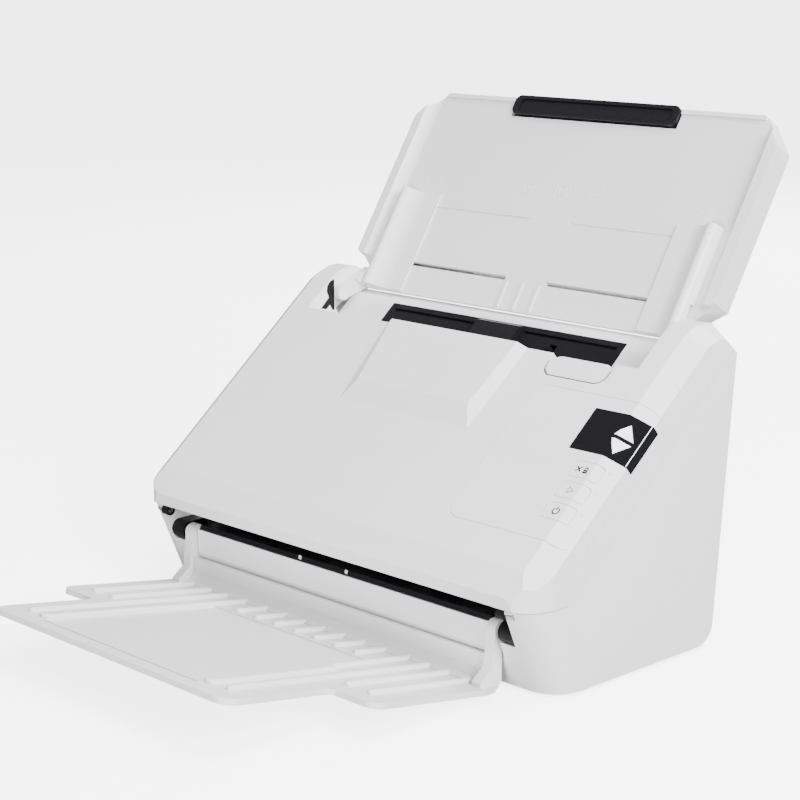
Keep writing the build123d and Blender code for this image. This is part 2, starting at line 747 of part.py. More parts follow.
def tray_panel():
    """Front shell of the input tray: face, side rims, and skirt."""
    body = tray_layer(0, -7, 0) - tray_layer(2, -20, -GUIDE_T)
    edge = slab(TRAY, (-118, 118), (TRAY_LENGTH - 2.5, 140), (-1, 20))
    rim = tray_layer(0, -0.5, RIM_H) & (rim_bar() + edge)
    rim -= slab(TRAY, (-160, 160), (-5, TRAY_NECK + 8), (-1, 20))
    rim -= slab(TRAY, (-118, 118), (TRAY_LENGTH - 4, 150), (1.2, 20))
    body += rim
    body -= slab(TRAY, (-160, 160), (-5, TRAY_NECK), (-20, -3))
    body -= handle_zone(0.5)
    for x in (-1, 1):
        a, b = sorted((x * SLOT_INNER_X, x * 112))
        body -= slab(TRAY, (a, b), (LOWER_SLOT_S - 1.2, LOWER_SLOT_S + 1.2), (-6, 2))
        body -= slab(TRAY, (a, b), (UPPER_SLOT_S - 0.6, UPPER_SLOT_S + 0.6), (-0.6, 2))
    for x in (-12.5, -0.5, 11.5):
        body += slab(TRAY, (x - 0.8, x + 0.8), (2, 18), (-0.5, 0.9))
    return body + mirrored(tray_arm())


def rim_bar():
    """Both side rims, dished on their inner side."""
    crest = TRAY_HALF - RIM_W
    run = Line((TRAY_HALF, -0.5), (TRAY_HALF, RIM_H + 1))
    top = Line((TRAY_HALF, RIM_H + 1), (crest + 0.5, RIM_H + 1))
    dish = ThreePointArc((crest + 0.5, RIM_H + 1), (crest - 2.6, 1.5), (crest - 8, -0.1))
    foot = Polyline((crest - 8, -0.1), (crest - 8, -0.5), (TRAY_HALF, -0.5))
    section = make_face(Curve() + [run, top, dish, foot])
    plane = Plane(origin=TRAY.origin, x_dir=(1, 0, 0), z_dir=-TRAY.y_dir)
    bar = extrude(plane * section, amount=TRAY_LENGTH + 5, dir=TRAY.y_dir)
    return Part() + mirrored(bar)


def tray_arm():
    """Arm from the foot of the tray forward to its pivot pin."""
    y, z = TRAY_PIVOT
    points = [yz(TRAY, 1.5, -2.5), yz(TRAY, 12, -2.5), yz(TRAY, 12, 3)]
    points += [(y + 3, z + 5.2), (y - 2, z + 4), (y - 1, z - 4.2)]
    arm = prism_x(points, TRAY_NECK_HALF - 2.6, 124.4)
    arm += rod_x(TRAY_PIVOT, 4.6, TRAY_NECK_HALF - 0.6, 124.4)
    arm -= slab(TRAY, (110, TRAY_NECK_HALF - 0.6), (-40, 1), (-2.5, 40))
    return arm


def tray_pins():
    return mirrored(rod_x(TRAY_PIVOT, 2.5, 124.4, 133.4))


def tray_back():
    back = tray_layer(0, -TRAY_T, -7)
    back -= slab(TRAY, (-160, 160), (-5, TRAY_NECK + 0.5), (-30, 5))
    back -= handle_zone(0.5)
    for i in range(5):
        back -= slab(TRAY, (-100, 100), (70 + i * 10, 72 + i * 10), (-TRAY_T - 1, -TRAY_T + 0.6))
    return back


def tray_extension():
    """Sliding black extension with its pull bar along the tray's top edge."""
    plate = slab(TRAY, (-57, 57), (62, 122), (-6.4, -3.0))
    bar = rounded_column(TRAY, (-61, 61), (120.4, 132.5), (-TRAY_T, 2.2), 4)
    return plate + bar - rounded_column(TRAY, (-57, 57), (122.2, 130.3), (0.9, 5), 3)


def guide_section(x0):
    """Cross-section of a side guide: flat foot, and a fence with a rounded crest."""
    low, crest = 1.4, 7.5
    run = Line((x0, 0.3), (x0, low))
    flat = Line((x0, low), (x0 + 11, low))
    ramp = TangentArc((x0 + 11, low), (x0 + 23, crest - 1), tangent=(1, 0))
    top = ThreePointArc((x0 + 23, crest - 1), (x0 + 26.5, crest), (x0 + 28.6, crest - 1.6))
    out = Line((x0 + 28.6, crest - 1.6), (x0 + 30.2, 0.3))
    base = Line((x0 + 30.2, 0.3), (x0, 0.3))
    return make_face(Curve() + [run, flat, ramp, top, out, base])


def side_guide():
    """Right guide: sits on the tray face and slides across it."""
    plane = Plane(origin=TRAY.origin, x_dir=(1, 0, 0), z_dir=-TRAY.y_dir)
    plane = plane.offset(-GUIDE_LENGTH)
    guide = extrude(plane * guide_section(GUIDE_IN), amount=GUIDE_LENGTH - 1.5, dir=-TRAY.y_dir)
    guide -= slab(TRAY, (GUIDE_IN + 28.2, 130), (-5, TRAY_NECK + 8), (-1, 3))
    return guide


def slot_stem(side):
    """Neck that joins a guide to its rack through a slot in the tray's face."""
    a, b = sorted((side * 98, side * 110))
    return slab(TRAY, (a, b), (LOWER_SLOT_S - 0.9, LOWER_SLOT_S + 0.9), (RACK_Z + 2.1, 0.4))


def pitch_radius():
    return MODULE * PINION_TEETH / 2


def involute(base, t, turn):
    x = base * (cos(t) + t * sin(t))
    y = base * (sin(t) - t * cos(t))
    return (x * cos(turn) - y * sin(turn), x * sin(turn) + y * cos(turn))


def pinion_face():
    """Involute spur gear outline with a little backlash."""
    pitch = pitch_radius()
    base = pitch * cos(radians(20))
    outer, root = pitch + 0.9 * MODULE, pitch - 1.2 * MODULE
    roll = tan(radians(20)) - radians(20)
    half_tooth = pi / 2 / PINION_TEETH + roll - 0.012
    t_end = ((outer / base) ** 2 - 1) ** 0.5
    points = []
    for i in range(PINION_TEETH):
        mid = 2 * pi * i / PINION_TEETH
        flank = [involute(base, t_end * k / 4, mid - half_tooth) for k in range(5)]
        mirror_flank = [involute(base, -t_end * k / 4, mid + half_tooth) for k in range(4, -1, -1)]
        a = mid - half_tooth
        b = mid + half_tooth
        points.append((root * cos(a), root * sin(a)))
        points += flank + mirror_flank
        points.append((root * cos(b), root * sin(b)))
    return make_face(Polyline(*points, close=True))


def guide_pinion():
    face = TRAY * Pos(0, PINION_S, RACK_Z - 0.9) * (pinion_face() - Circle(3.05))
    return extrude(face, amount=3.0, dir=TRAY.z_dir)


def pinion_axle():
    return TRAY * Pos(0, PINION_S, -4.75) * Cylinder(3.0, 4.5)


def rack_face():
    """Rack for the right guide: runs below the pinion, teeth up the slope."""
    pitch = pi * MODULE
    flank = tan(radians(20))
    slack = 0.08
    line = PINION_S - pitch_radius()
    top, root = line + 0.9 * MODULE, line - 1.2 * MODULE
    teeth = []
    for i in range(-9, 23):
        mid = i * pitch + pitch / 2 + tooth_phase() * pitch
        wide = pitch / 4 - slack + (line - root) * flank
        thin = pitch / 4 - slack - (top - line) * flank
        teeth += [(mid - wide, root), (mid - thin, top), (mid + thin, top), (mid + wide, root)]
    start, end = teeth[0][0] - 2, teeth[-1][0] + 2
    start_points = [(start, line - 5.5), (start, root)]
    end_points = [(end, root), (end, line - 5.5)]
    return make_face(Polyline(*start_points, *teeth, *end_points, close=True))


def tooth_phase():
    """Pinion tooth angle at the bottom of the gear, as a share of one tooth."""
    return (-PINION_TEETH / 4) % 1.0


def link_room():
    """Part of the left neck that the link takes over, so the right rack can pass below."""
    return slab(TRAY, (-111, -97), (0, 40), (-10, -2.8))


def rack_bar():
    face = TRAY * Pos(0, 0, RACK_Z - 0.9) * rack_face()
    return extrude(face, amount=3.0, dir=TRAY.z_dir)


def right_rack():
    top = PINION_S - pitch_radius() - 5.4
    return rack_bar() + slab(TRAY, (98, 110), (LOWER_SLOT_S - 0.9, top), (RACK_Z - 0.9, RACK_Z + 2.1))


def left_rack():
    """Rack above the pinion, joined to the left guide by a thin link over the right rack."""
    axis = Axis(TRAY.from_local_coords((0, PINION_S, 0)), TRAY.z_dir)
    rack = rack_bar().rotate(axis, 180)
    back = PINION_S + pitch_radius() + 5.4
    link = slab(TRAY, (-110, -98), (LOWER_SLOT_S - 0.9, back), (-2.8 - LINK_T, -2.8))
    return rack + link + slab(TRAY, (-110, -98), (back - 3.4, back), (RACK_Z - 0.9, -2.8))


# ================================ output tray ================================


def out_slab(xs, ds, hs):
    """Box in output tray coordinates: across, forward along the tray, and above its face."""
    return slab(OUT, (-xs[1], -xs[0]), ds, hs)


def out_outline():
    """Plan of the output tray: wide wings at the rear, narrower front."""
    right = [(121, -4), (WING_HALF, 6), (WING_HALF, WING_FRONT)]
    right += [(OUT_HALF, WING_FRONT), (OUT_HALF, OUT_LENGTH)]
    left = [(-x, d) for x, d in reversed(right)]
    face = make_face(Polyline(*right, *left, close=True))
    face = fillet(face.vertices().filter_by(lambda v: abs(v.X) == WING_HALF and v.Y == WING_FRONT), 7)
    face = fillet(face.vertices().filter_by(lambda v: abs(abs(v.X) - OUT_HALF) < 1e-6 and v.Y > 140), 9)
    return fillet(face.vertices().filter_by(lambda v: abs(abs(v.X) - OUT_HALF) < 1e-6 and v.Y < 90), 4)


def out_ribs():
    """Centre, half width, and ends of each rib on the output tray."""
    ribs = [(0, 2.2, -3, 21.5)]
    for side in (-1, 1):
        ribs += [(side * k * RIB_PITCH, 2.2, -3, 21.5) for k in (1, 2, 3)]
        ribs += [(side * 4 * RIB_PITCH + side * 1.5, 2.2, -3, 60), (side * 66, 4.2, 53, 132.5)]
        ribs += [(side * 5 * RIB_PITCH + side * 1.5, 2.0, 0, 131)]
        ribs += [(side * k * RIB_PITCH, 2.0, 1, 70) for k in (6, 7)]
    return ribs


def rounded_rib(x, half, start, end):
    """Low rib with a rounded crest and rounded ends."""
    height = 2.0
    rib = rounded_column(OUT, (-x - half, -x + half), (start, end), (-1, height), half - 0.01)
    crest = rib.edges().group_by(lambda e: round(OUT.to_local_coords(e.center()).Z, 3))[-1]
    return fillet(crest, min(half, height) - 0.4)


def output_tray():
    """Ribbed sheet catcher that hangs by two arms in the exit slot."""
    plate = extrude(OUT * Pos(0, 0, -OUT_T) * out_outline(), amount=OUT_T, dir=OUT.z_dir)
    plate -= out_slab((-STOP_HALF, STOP_HALF), (24, 133), (-0.8, 2))
    plate -= out_slab((-STOP_HALF - 0.4, STOP_HALF + 0.4), (OUT_LENGTH - STOP_DEPTH + 0.4, 150), (-10, 2))
    for x, half, start, end in out_ribs():
        plate += rounded_rib(x, half, start, end)
    lip = [(-17, 0.3), (-12, 0.6), (-9.2, 6), (-8.8, 16.7), (-11.0, 16.7)]
    lip += [(-11.6, 8), (-14.5, 5), (-18, 4)]
    plate += prism_x(lip, -APRON_HALF, APRON_HALF)
    tray = plate + mirrored(output_arm())
    return tray - stopper_pin(1.05, STOP_HALF + 5)


def output_arm():
    y, z = EXIT_PIVOT
    points = [(y - 4.6, z + 1), (y + 1, z - 4.5), (-7.0, 20), (-7.2, 4), (-10, 0.5)]
    points += [(-22, 1.5), (-22, 6), (-14, 12)]
    arm = prism_x(points, 114.6, 120.4) + rod_x(EXIT_PIVOT, 5, 114.6, 120.4)
    return arm + rod_x(EXIT_PIVOT, 2.5, 120.0, 128)


def stopper_center():
    return yz(OUT, OUT_LENGTH - STOP_DEPTH + 2.2, -1.5)


def stopper_pin(radius, half):
    return rod_x(stopper_center(), radius, -half, half)


def output_stopper():
    """Narrow flap along the front edge that flips up to stop the sheets."""
    d0 = OUT_LENGTH - STOP_DEPTH + 2.2
    flap = out_slab((-STOP_HALF, STOP_HALF), (d0, OUT_LENGTH), (-OUT_T, 0))
    flap += rod_x(stopper_center(), 1.5, -STOP_HALF, STOP_HALF)
    return flap + stopper_pin(1.0, STOP_HALF + 4)


# ================================ output ================================


def row_shift():
    """From body coordinates to the row frame: footprint centre, on the table."""
    front = yz(OUT, OUT_LENGTH, -OUT_T)[0]
    rear = max(yz(TRAY, TRAY_LENGTH, -TRAY_T)[0], yz(TRAY, 132.5, -TRAY_T)[0])
    return Vector(0, -(front + rear) / 2, FOOT_H)


def save(name, shape):
    solids = shape if isinstance(shape, (list, tuple)) else [shape]
    solids = [s for item in solids for s in item.solids()]
    moved = [s.moved(Location(row_shift())) for s in solids]
    result = moved[0] if len(moved) == 1 else Compound(children=moved)
    result.label = name
    export_step(result, f"parts/{name}.step")


def base_parts(form):
    parts = {
        "base_housing": base_housing(form),
        "rear_cover": rear_cover(form),
        "bottom_plate": bottom_plate(),
        "rubber_feet": rubber_feet(),
        "case_screws": case_screws(),
        "lower_paper_guide": lower_paper_guide(),
        "exit_apron": exit_apron(),
        "feed_hood": feed_hood(),
        "side_frames": side_frames(),
        "shaft_bushes": shaft_bushes(),
        "drive_belt": drive_belt(),
        "drive_motor": drive_motor(),
        "motor_bracket": motor_bracket(),
        "rear_image_sensor": image_sensor(29, -15, -2.7),
        "rear_scan_glass": slab(PATH, (-109.7, 109.7), (30.3, 45.7), (-2.4, -0.2)),
        "main_board": main_board(),
        "power_inlet": power_inlet(),
        "usb_socket": usb_socket(),
        "tray_brackets": tray_brackets(),
        "tray_hinge_blocks": tray_hinge_blocks(),
        "cover_hinge_pins": cover_hinge_pins(),
        "latch_strikers": latch_strikers(),
        "flag_carrier": flag_carrier(),
        "paper_flag": paper_flag(),
    }
    return parts


def roller_parts():
    feed, transport, exit_ = shaft_places()[2], shaft_places()[1], shaft_places()[0]
    return {
        "feed_shaft": driven_shaft(*feed),
        "feed_roller": tyres(*feed, FEED_R, [(-12, 12)]),
        "transport_shaft": driven_shaft(*transport),
        "transport_rollers": tyres(*transport, TRANSPORT_R, tyre_spans()),
        "exit_shaft": driven_shaft(*exit_),
        "exit_rollers": tyres(*exit_, EXIT_R, tyre_spans()),
        "motor_shaft": rod_x((MOTOR_Y, MOTOR_Z), 2.5, BELT_SPAN[0], -92) + motor_pulley(),
        "transport_pinch_roller": pinch_roller(TRANSPORT_U),
        "exit_pinch_roller": pinch_roller(EXIT_U),
        "separation_roller": separation_roller(),
    }


def cover_parts(form):
    shell = cover_shell(form)
    parts = {
        "front_cover": front_cover(shell),
        "cover_hinge_lugs": cover_hinge_lugs(),
        "control_panel": control_panel(shell),
        "display_window": display_window(shell),
        "light_pipes": [shell & c for c in light_columns()],
        "upper_paper_guide": upper_paper_guide(),
        "front_image_sensor": image_sensor(48, 3.6, 11),
        "front_scan_glass": slab(PATH, (-109.7, 109.7), (50.3, 63.7), (1.6, 3.4)),
        "panel_board": panel_board(),
        "latch_bar": latch_bar(),
        "release_lever": release_lever(),
    }
    for name in KEY_T:
        parts[name] = key_button(shell, name)
    for name in ARROW_T:
        parts[name] = shell & arrow_column(name)
    return parts


def tray_parts():
    guide = side_guide()
    return {
        "tray_panel": tray_panel(),
        "tray_back": tray_back(),
        "tray_pins": tray_pins(),
        "tray_extension": tray_extension(),
        "pinion_axle": pinion_axle(),
        "guide_pinion": guide_pinion(),
        "right_guide": guide + slot_stem(1) + right_rack(),
        "left_guide": mirror(guide, about=Plane.YZ) + slot_stem(-1) - link_room() + left_rack(),
        "output_tray": output_tray(),
        "output_stopper": output_stopper(),
    }


def main():
    os.makedirs("parts", exist_ok=True)
    form = outer_form()
    for group in (base_parts(form), roller_parts(), cover_parts(form), tray_parts()):
        for name, shape in group.items():
            save(name, shape)


if __name__ == "__main__":
    main()
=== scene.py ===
import json
from math import cos, pi, radians, sin

import bmesh
import bpy
from mathutils import Matrix, Vector


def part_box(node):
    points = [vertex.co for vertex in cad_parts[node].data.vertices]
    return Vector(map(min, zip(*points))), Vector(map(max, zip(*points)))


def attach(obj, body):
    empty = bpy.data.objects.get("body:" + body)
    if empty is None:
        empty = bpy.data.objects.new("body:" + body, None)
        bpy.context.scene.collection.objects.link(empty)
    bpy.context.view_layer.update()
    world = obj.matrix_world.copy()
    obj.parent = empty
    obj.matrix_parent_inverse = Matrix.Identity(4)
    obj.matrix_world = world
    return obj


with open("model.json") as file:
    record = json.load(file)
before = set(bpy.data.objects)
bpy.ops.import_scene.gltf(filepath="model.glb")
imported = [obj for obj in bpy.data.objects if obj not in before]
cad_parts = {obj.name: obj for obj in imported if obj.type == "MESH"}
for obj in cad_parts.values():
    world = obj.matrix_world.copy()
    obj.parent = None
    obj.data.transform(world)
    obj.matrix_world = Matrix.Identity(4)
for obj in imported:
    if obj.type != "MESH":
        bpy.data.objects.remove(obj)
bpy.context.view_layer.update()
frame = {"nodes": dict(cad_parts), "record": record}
MM = 0.001

# ---- reference directions of the scanner, from the frame ----
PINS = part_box("cover_hinge_pins")
PIVOT = Vector((0, (PINS[0].y + PINS[1].y) / 2, (PINS[0].z + PINS[1].z) / 2))
ORIGIN = PIVOT - Vector((0, -16.5, 42.5)) * MM
SLOPE = radians(39.7)
TRAY_SLOPE = radians(57.6)


def plane_at(y, z, along, out):
    """Matrix of a sloping face: x across, y along it, z out of it, in millimetres."""
    place = ORIGIN + Vector((0, y, z)) * MM
    across = along.cross(out)
    basis = Matrix((across, along, out)).transposed().to_4x4()
    return Matrix.Translation(place) @ basis @ Matrix.Scale(MM, 4)


def rising_plane(y, z, slope):
    """Plane that rises to the rear at a slope."""
    along = Vector((0, cos(slope), sin(slope)))
    return plane_at(y, z, along, Vector((0, -sin(slope), cos(slope))))


PANEL = rising_plane(-11.6, 64.6, SLOPE)
TRAY = rising_plane(126.9, 153, TRAY_SLOPE)


# ================================ materials ================================


def node(tree, kind, place, **values):
    made = tree.nodes.new(kind)
    made.location = place
    for name, value in values.items():
        if hasattr(made, name):
            setattr(made, name, value)
        else:
            made.inputs[name.replace("_", " ")].default_value = value
    return made


def start_material(name):
    material = bpy.data.materials.new(name)
    material.use_nodes = True
    shader = material.node_tree.nodes["Principled BSDF"]
    place = node(material.node_tree, "ShaderNodeTexCoord", (-1200, 0))
    return material, material.node_tree, shader, place.outputs["Object"]


def noise(tree, coords, scale, detail=3.0, roughness=0.5, at=(-900, 0)):
    made = node(tree, "ShaderNodeTexNoise", at, Scale=scale, Detail=detail, Roughness=roughness)
    tree.links.new(coords, made.inputs["Vector"])
    return made.outputs["Fac"]


def shade(tree, factor, low, high, at=(-600, 200)):
    """Colour that drifts between two close tones."""
    ramp = node(tree, "ShaderNodeValToRGB", at)
    ramp.color_ramp.elements[0].position = 0.3
    ramp.color_ramp.elements[1].position = 0.7
    ramp.color_ramp.elements[0].color = (*low, 1)
    ramp.color_ramp.elements[1].color = (*high, 1)
    tree.links.new(factor, ramp.inputs["Fac"])
    return ramp.outputs["Color"]


def spread(tree, factor, low, high, at=(-600, -100)):
    made = node(tree, "ShaderNodeMapRange", at)
    made.inputs["To Min"].default_value = low
    made.inputs["To Max"].default_value = high
    tree.links.new(factor, made.inputs["Value"])
    return made.outputs["Result"]


def bump(tree, height, strength, distance, at=(-300, -300)):
    made = node(tree, "ShaderNodeBump", at, Strength=strength, Distance=distance)
    tree.links.new(height, made.inputs["Height"])
    return made.outputs["Normal"]


def moulded(name, tone, rough, grain=900.0, depth=0.00004, strength=0.35, drift=0.03, shine=0.5):
    """Injection-moulded plastic: spark-eroded grain, slight flow shading, uneven gloss."""
    material, tree, shader, coords = start_material(name)
    cloud = noise(tree, coords, 14.0, 4.0, 0.55, (-900, 300))
    low = tuple(c * (1 - drift) for c in tone)
    high = tuple(min(1.0, c * (1 + drift / 2)) for c in tone)
    tree.links.new(shade(tree, cloud, low, high), shader.inputs["Base Color"])
    fine = noise(tree, coords, grain, 2.0, 0.6, (-900, -200))
    tree.links.new(spread(tree, fine, rough - 0.05, rough + 0.06), shader.inputs["Roughness"])
    tree.links.new(bump(tree, fine, strength, depth), shader.inputs["Normal"])
    shader.inputs["IOR"].default_value = 1.49
    shader.inputs["Specular IOR Level"].default_value = shine
    return material


def polished(name, tone, rough, coat=0.1, shine=0.2):
    """Polished plastic with faint wiping marks in its gloss."""
    material, tree, shader, coords = start_material(name)
    wipe = noise(tree, coords, 60.0, 6.0, 0.6, (-900, -100))
    dust = noise(tree, coords, 1500.0, 2.0, 0.5, (-900, 300))
    lighter = tuple(c * 1.25 + 0.002 for c in tone)
    tree.links.new(shade(tree, dust, tone, lighter), shader.inputs["Base Color"])
    tree.links.new(spread(tree, wipe, rough * 0.7, rough * 1.5), shader.inputs["Roughness"])
    shader.inputs["Specular IOR Level"].default_value = shine
    shader.inputs["Coat Weight"].default_value = coat
    shader.inputs["Coat Roughness"].default_value = 0.08
    return material


def rubber(name, tone, grain):
    material, tree, shader, coords = start_material(name)
    fine = noise(tree, coords, grain, 4.0, 0.7, (-900, -200))
    tree.links.new(shade(tree, fine, tone, tuple(c * 1.7 for c in tone)), shader.inputs["Base Color"])
    tree.links.new(spread(tree, fine, 0.68, 0.9), shader.inputs["Roughness"])
    tree.links.new(bump(tree, fine, 0.5, 0.00008), shader.inputs["Normal"])
    shader.inputs["Specular IOR Level"].default_value = 0.15
    return material


def steel(name, tone, rough, stretch):
    """Brushed or ground metal: fine lines stretched along one direction."""
    material, tree, shader, coords = start_material(name)
    mapping = node(tree, "ShaderNodeMapping", (-1050, -200))
    mapping.inputs["Scale"].default_value = stretch
    tree.links.new(coords, mapping.inputs["Vector"])
    lines = noise(tree, mapping.outputs["Vector"], 700.0, 3.0, 0.6, (-850, -200))
    tree.links.new(shade(tree, lines, tuple(c * 0.85 for c in tone), tone), shader.inputs["Base Color"])
    tree.links.new(spread(tree, lines, rough - 0.08, rough + 0.1), shader.inputs["Roughness"])
    tree.links.new(bump(tree, lines, 0.2, 0.00003), shader.inputs["Normal"])
    shader.inputs["Metallic"].default_value = 1.0
    return material


def glass(name):
    material, tree, shader, coords = start_material(name)
    smear = noise(tree, coords, 40.0, 5.0, 0.6, (-900, -100))
    tree.links.new(shade(tree, smear, (0.80, 0.86, 0.86), (0.88, 0.92, 0.92)), shader.inputs["Base Color"])
    tree.links.new(spread(tree, smear, 0.02, 0.09), shader.inputs["Roughness"])
    shader.inputs["Transmission Weight"].default_value = 0.85
    shader.inputs["IOR"].default_value = 1.5
    return material


def circuit_board(name):
    """Solder mask with copper traces showing as slightly lighter lines."""
    material, tree, shader, coords = start_material(name)
    cells = node(tree, "ShaderNodeTexVoronoi", (-900, 100), feature="DISTANCE_TO_EDGE", Scale=160.0)
    tree.links.new(coords, cells.inputs["Vector"])
    track = spread(tree, cells.outputs["Distance"], 1.0, 0.0, (-750, 100))
    colour = shade(tree, track, (0.012, 0.09, 0.035), (0.03, 0.17, 0.07))
    tree.links.new(colour, shader.inputs["Base Color"])
    fine = noise(tree, coords, 900.0, 2.0, 0.5, (-900, -300))
    tree.links.new(spread(tree, fine, 0.25, 0.4), shader.inputs["Roughness"])
    return material


def painted_glow_white(name, tone):
    """White plastic of the arrow keys, with a painted glow: its emission makes it brighter than the lamps
    light it.
    """
    material, tree, shader, coords = start_material(name)
    fine = noise(tree, coords, 800.0, 2.0, 0.5, (-900, 0))
    colour = shade(tree, fine, tuple(c * 0.95 for c in tone), tone)
    tree.links.new(colour, shader.inputs["Base Color"])
    tree.links.new(colour, shader.inputs["Emission Color"])
    tree.links.new(spread(tree, fine, 0.3, 0.42), shader.inputs["Roughness"])
    # painted glow: emission on plastic keys that hold no lamp
    shader.inputs["Emission Strength"].default_value = 0.35
    return material


def dull_black(name, tone, rough):
    return moulded(name, tone, rough, grain=700.0, drift=0.2, shine=0.12)


def make_materials():
    return {
        "white_housing": moulded("white_housing", (0.80, 0.80, 0.81), 0.42),
        "white_cover": moulded("white_cover", (0.79, 0.79, 0.80), 0.36),
        "white_panel": moulded("white_panel", (0.80, 0.80, 0.81), 0.32, grain=1400.0, strength=0.2),
        "white_tray": moulded("white_tray", (0.74, 0.74, 0.75), 0.45),
        "white_guide": moulded("white_guide", (0.78, 0.78, 0.79), 0.34, strength=0.2),
        "white_output": moulded("white_output", (0.76, 0.76, 0.77), 0.40),
        "white_nylon": moulded("white_nylon", (0.72, 0.72, 0.69), 0.5, grain=500.0),
        "grey_plastic": moulded("grey_plastic", (0.42, 0.42, 0.43), 0.55, grain=600.0),
        "soft_rubber": rubber("soft_rubber", (0.012, 0.012, 0.012), 900.0),
        "roller_rubber": rubber("roller_rubber", (0.015, 0.015, 0.016), 1600.0),
        "belt_rubber": rubber("belt_rubber", (0.012, 0.012, 0.012), 1200.0),
        "zinc_steel": steel("zinc_steel", (0.55, 0.55, 0.56), 0.32, (1, 1, 1)),
        "sheet_steel": steel("sheet_steel", (0.56, 0.57, 0.58), 0.36, (1, 1, 0.05)),
        "shaft_steel": steel("shaft_steel", (0.62, 0.62, 0.63), 0.26, (0.05, 1, 1)),
        "black_guide": dull_black("black_guide", (0.007, 0.007, 0.008), 0.38),
        "black_gloss": polished("black_gloss", (0.006, 0.006, 0.007), 0.22, 0.04),
        "socket_black": dull_black("socket_black", (0.007, 0.007, 0.007), 0.42),
        "display_black": polished("display_black", (0.003, 0.003, 0.004), 0.12, 0.05),
        "light_clear": polished("light_clear", (0.62, 0.64, 0.63), 0.12, 0.6, 0.5),
        # painted glow: this white shines by its own emission, though it is no lamp
        "lit_white": painted_glow_white("lit_white", (0.93, 0.95, 0.94)),
        "clear_glass": glass("clear_glass"),
        "board_green": circuit_board("board_green"),
    }


def dress(materials):
    """Gives every CAD node the material of its slot."""
    for part in frame["record"]["subparts"]:
        data = frame["nodes"][part["node"]].data
        data.materials.clear()
        data.materials.append(materials[part["material_slot"]])


# ================================ moulded and printed detail ================================


def add_piece(name, mesh, body, material):
    piece = bpy.data.objects.new(name, mesh)
    mesh.materials.append(material)
    bpy.context.scene.collection.objects.link(piece)
    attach(piece, body)
    return piece


def plate(shape, plane, outline, thick):
    """Flat plate on a plane, from its outline in millimetres."""
    low = [shape.verts.new(plane @ Vector((x, y, 0))) for x, y in outline]
    high = [shape.verts.new(plane @ Vector((x, y, thick))) for x, y in outline]
    shape.faces.new(low[::-1])
    shape.faces.new(high)
    for i in range(len(low)):
        j = (i + 1) % len(low)
        shape.faces.new((low[i], low[j], high[j], high[i]))


def stroke(shape, plane, points, width, height, lift, closed=False, ground=None):
    """Raised line of a given width along points on a plane, with bevelled sides, in millimetres."""
    count = len(points)
    rows = []
    for i, (x, y) in enumerate(points):
        back = points[i - 1] if i or closed else points[i]
        on = points[(i + 1) % count] if i < count - 1 or closed else points[i]
        run = Vector((on[0] - back[0], on[1] - back[1])).normalized()
        side = Vector((-run.y, run.x)) * width / 2
        inner = side * 0.7
        row = [(x + side.x, y + side.y, lift), (x + inner.x, y + inner.y, lift + height)]
        row += [(x - inner.x, y - inner.y, lift + height), (x - side.x, y - side.y, lift)]
        if ground:
            row = [(a, b, c + ground(a, b)) for a, b, c in row]
        rows.append([shape.verts.new(plane @ Vector(p)) for p in row])
    pairs = list(zip(rows, rows[1:])) + ([(rows[-1], rows[0])] if closed else [])
    for a, b in pairs:
        for k in range(4):
            shape.faces.new((a[k], a[(k + 1) % 4], b[(k + 1) % 4], b[k]))
    if not closed:
        shape.faces.new(rows[0][::-1])
        shape.faces.new(rows[-1])


def arc(x, y, radius, start, end, steps=20):
    span = [radians(start + (end - start) * i / steps) for i in range(steps + 1)]
    return [(x + radius * cos(a), y + radius * sin(a)) for a in span]


def circle(x, y, radius, steps=28):
    return arc(x, y, radius, 0, 360, steps)[:-1]


def finish_mesh(name, shape):
    bmesh.ops.recalc_face_normals(shape, faces=shape.faces)
    mesh = bpy.data.meshes.new(name)
    shape.to_mesh(mesh)
    shape.free()
    return mesh


def key_symbols(material):
    """Small dark function marks for the cancel, scan and power keys."""
    width, height, lift = 0.75, 0.05, 0.01
    marks = {}
    cross = bmesh.new()
    for way in (-1, 1):
        stroke(cross, PANEL, [(129.0, 62.0 - way * 1.5), (132.0, 62.0 + way * 1.5)], width, height, lift)
    body = [(133.8, 60.6), (136.0, 60.6), (136.0, 61.8), (133.8, 61.8)]
    stroke(cross, PANEL, body, 1.1, height, lift, True)
    stroke(cross, PANEL, arc(134.9, 62.6, 0.9, 0, 180, 10), width, height, lift)
    marks["cancel_mark"] = (cross, "cancel_key")
    arrow = bmesh.new()
    stroke(arrow, PANEL, [(132.4, 47.2), (132.4, 50.8), (135.6, 49.0)], width, height, lift, True)
    marks["scan_mark"] = (arrow, "scan_key")
    ring = bmesh.new()
    stroke(ring, PANEL, arc(133.6, 36.0, 1.9, 125, 415), width, height, lift)
    stroke(ring, PANEL, [(133.6, 36.4), (133.6, 38.7)], width, height, lift)
    marks["power_mark"] = (ring, "power_key")
    for name, (shape, body) in marks.items():
        add_piece(name, finish_mesh(name, shape), body, material)


def face_height(name):
    """Height of a CAD part's face over the panel plane, at a point given in millimetres."""
    part = frame["nodes"][name]
    into = part.matrix_world.inverted() @ PANEL
    out = PANEL.inverted() @ part.matrix_world
    way = (into.to_3x3() @ Vector((0, 0, -1))).normalized()

    def height(x, y):
        found, place, _, _ = part.ray_cast(into @ Vector((x, y, 30)), way)
        return (out @ place).z if found else 0.0

    return height


def display_fold_highlight(white):
    """Painted highlight: a thin glowing white line along the display's outer fold."""
    shape = bmesh.new()
    ends = [(149.2, 73.2), (149.2, 98.6)]
    # painted highlight drawn on the display window's face
    stroke(shape, PANEL, ends, 0.35, 0.05, 0.01, ground=face_height("display_window"))
    add_piece("display_fold_highlight", finish_mesh("display_fold_highlight", shape), "cover", white)


